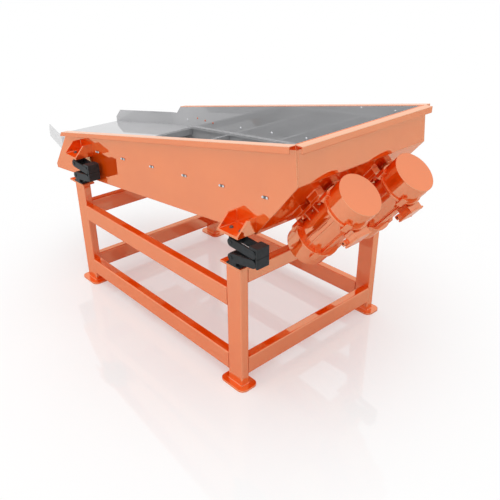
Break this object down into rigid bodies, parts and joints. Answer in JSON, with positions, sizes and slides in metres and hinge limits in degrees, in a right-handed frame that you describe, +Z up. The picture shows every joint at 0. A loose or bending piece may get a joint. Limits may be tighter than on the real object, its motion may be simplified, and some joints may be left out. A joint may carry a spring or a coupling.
{
  "type": "vibrating feeder",
  "caption": "Open trough feeder with a steel liner and a tapered spout, shaken by raked vibration motors and carried on rubber lever mounts on a tube stand.",
  "frame": {"origin": "middle of the stand's footprint, on the floor", "axes": "+Z up, +X towards the feed end with the motors, -X towards the spout, Y across the trough"},
  "size_m": [3.3383, 1.336, 1.5447],
  "materials": {
    "orange_paint": "glossy",
    "liner_steel": "polished",
    "mount_grey": "satin"
  },
  "bodies": {
    "stand": {"posts": "orange_paint", "foot_plates": "orange_paint", "seat_plates": "orange_paint", "near_side_rails": "orange_paint", "far_side_rails": "orange_paint", "discharge_end_rails": "orange_paint", "feed_end_lower_rail": "orange_paint", "feed_end_upper_rail": "orange_paint", "mount_lower_housings": "mount_grey", "mount_lower_levers": "mount_grey", "mount_upper_levers": "mount_grey", "mount_knees": "mount_grey"},
    "trough": {"near_side_plate": "orange_paint", "far_side_plate": "orange_paint", "bottom_pan": "orange_paint", "motor_plate": "orange_paint", "rear_wall": "orange_paint", "near_rim": "orange_paint", "far_rim": "orange_paint", "rear_rim": "orange_paint", "near_wall_liner": "liner_steel", "far_wall_liner": "liner_steel", "discharge_deck": "liner_steel", "deck_ledges": "liner_steel", "cross_bars": "liner_steel", "rear_liner": "liner_steel", "bottom_liner": "liner_steel", "back_liner": "liner_steel", "mount_brackets": "orange_paint", "mount_upper_housings": "mount_grey", "motor_pads": "orange_paint", "motor_barrels": "orange_paint", "motor_feet": "orange_paint", "motor_end_rings": "orange_paint", "motor_upper_caps": "orange_paint", "motor_lower_caps": "orange_paint", "terminal_boxes": "orange_paint"}
  },
  "joints": [
    {"name": "trough_stroke", "type": "slide", "parent": "stand", "child": "trough", "axis": [-0.7694, 0, 0.6388], "range_m": [-0.004, 0.004], "stiffness_N_per_m": 400000, "springref_m": 0.01596, "deforming": ["mount_lower_levers", "mount_upper_levers", "mount_knees"]}
  ]
}
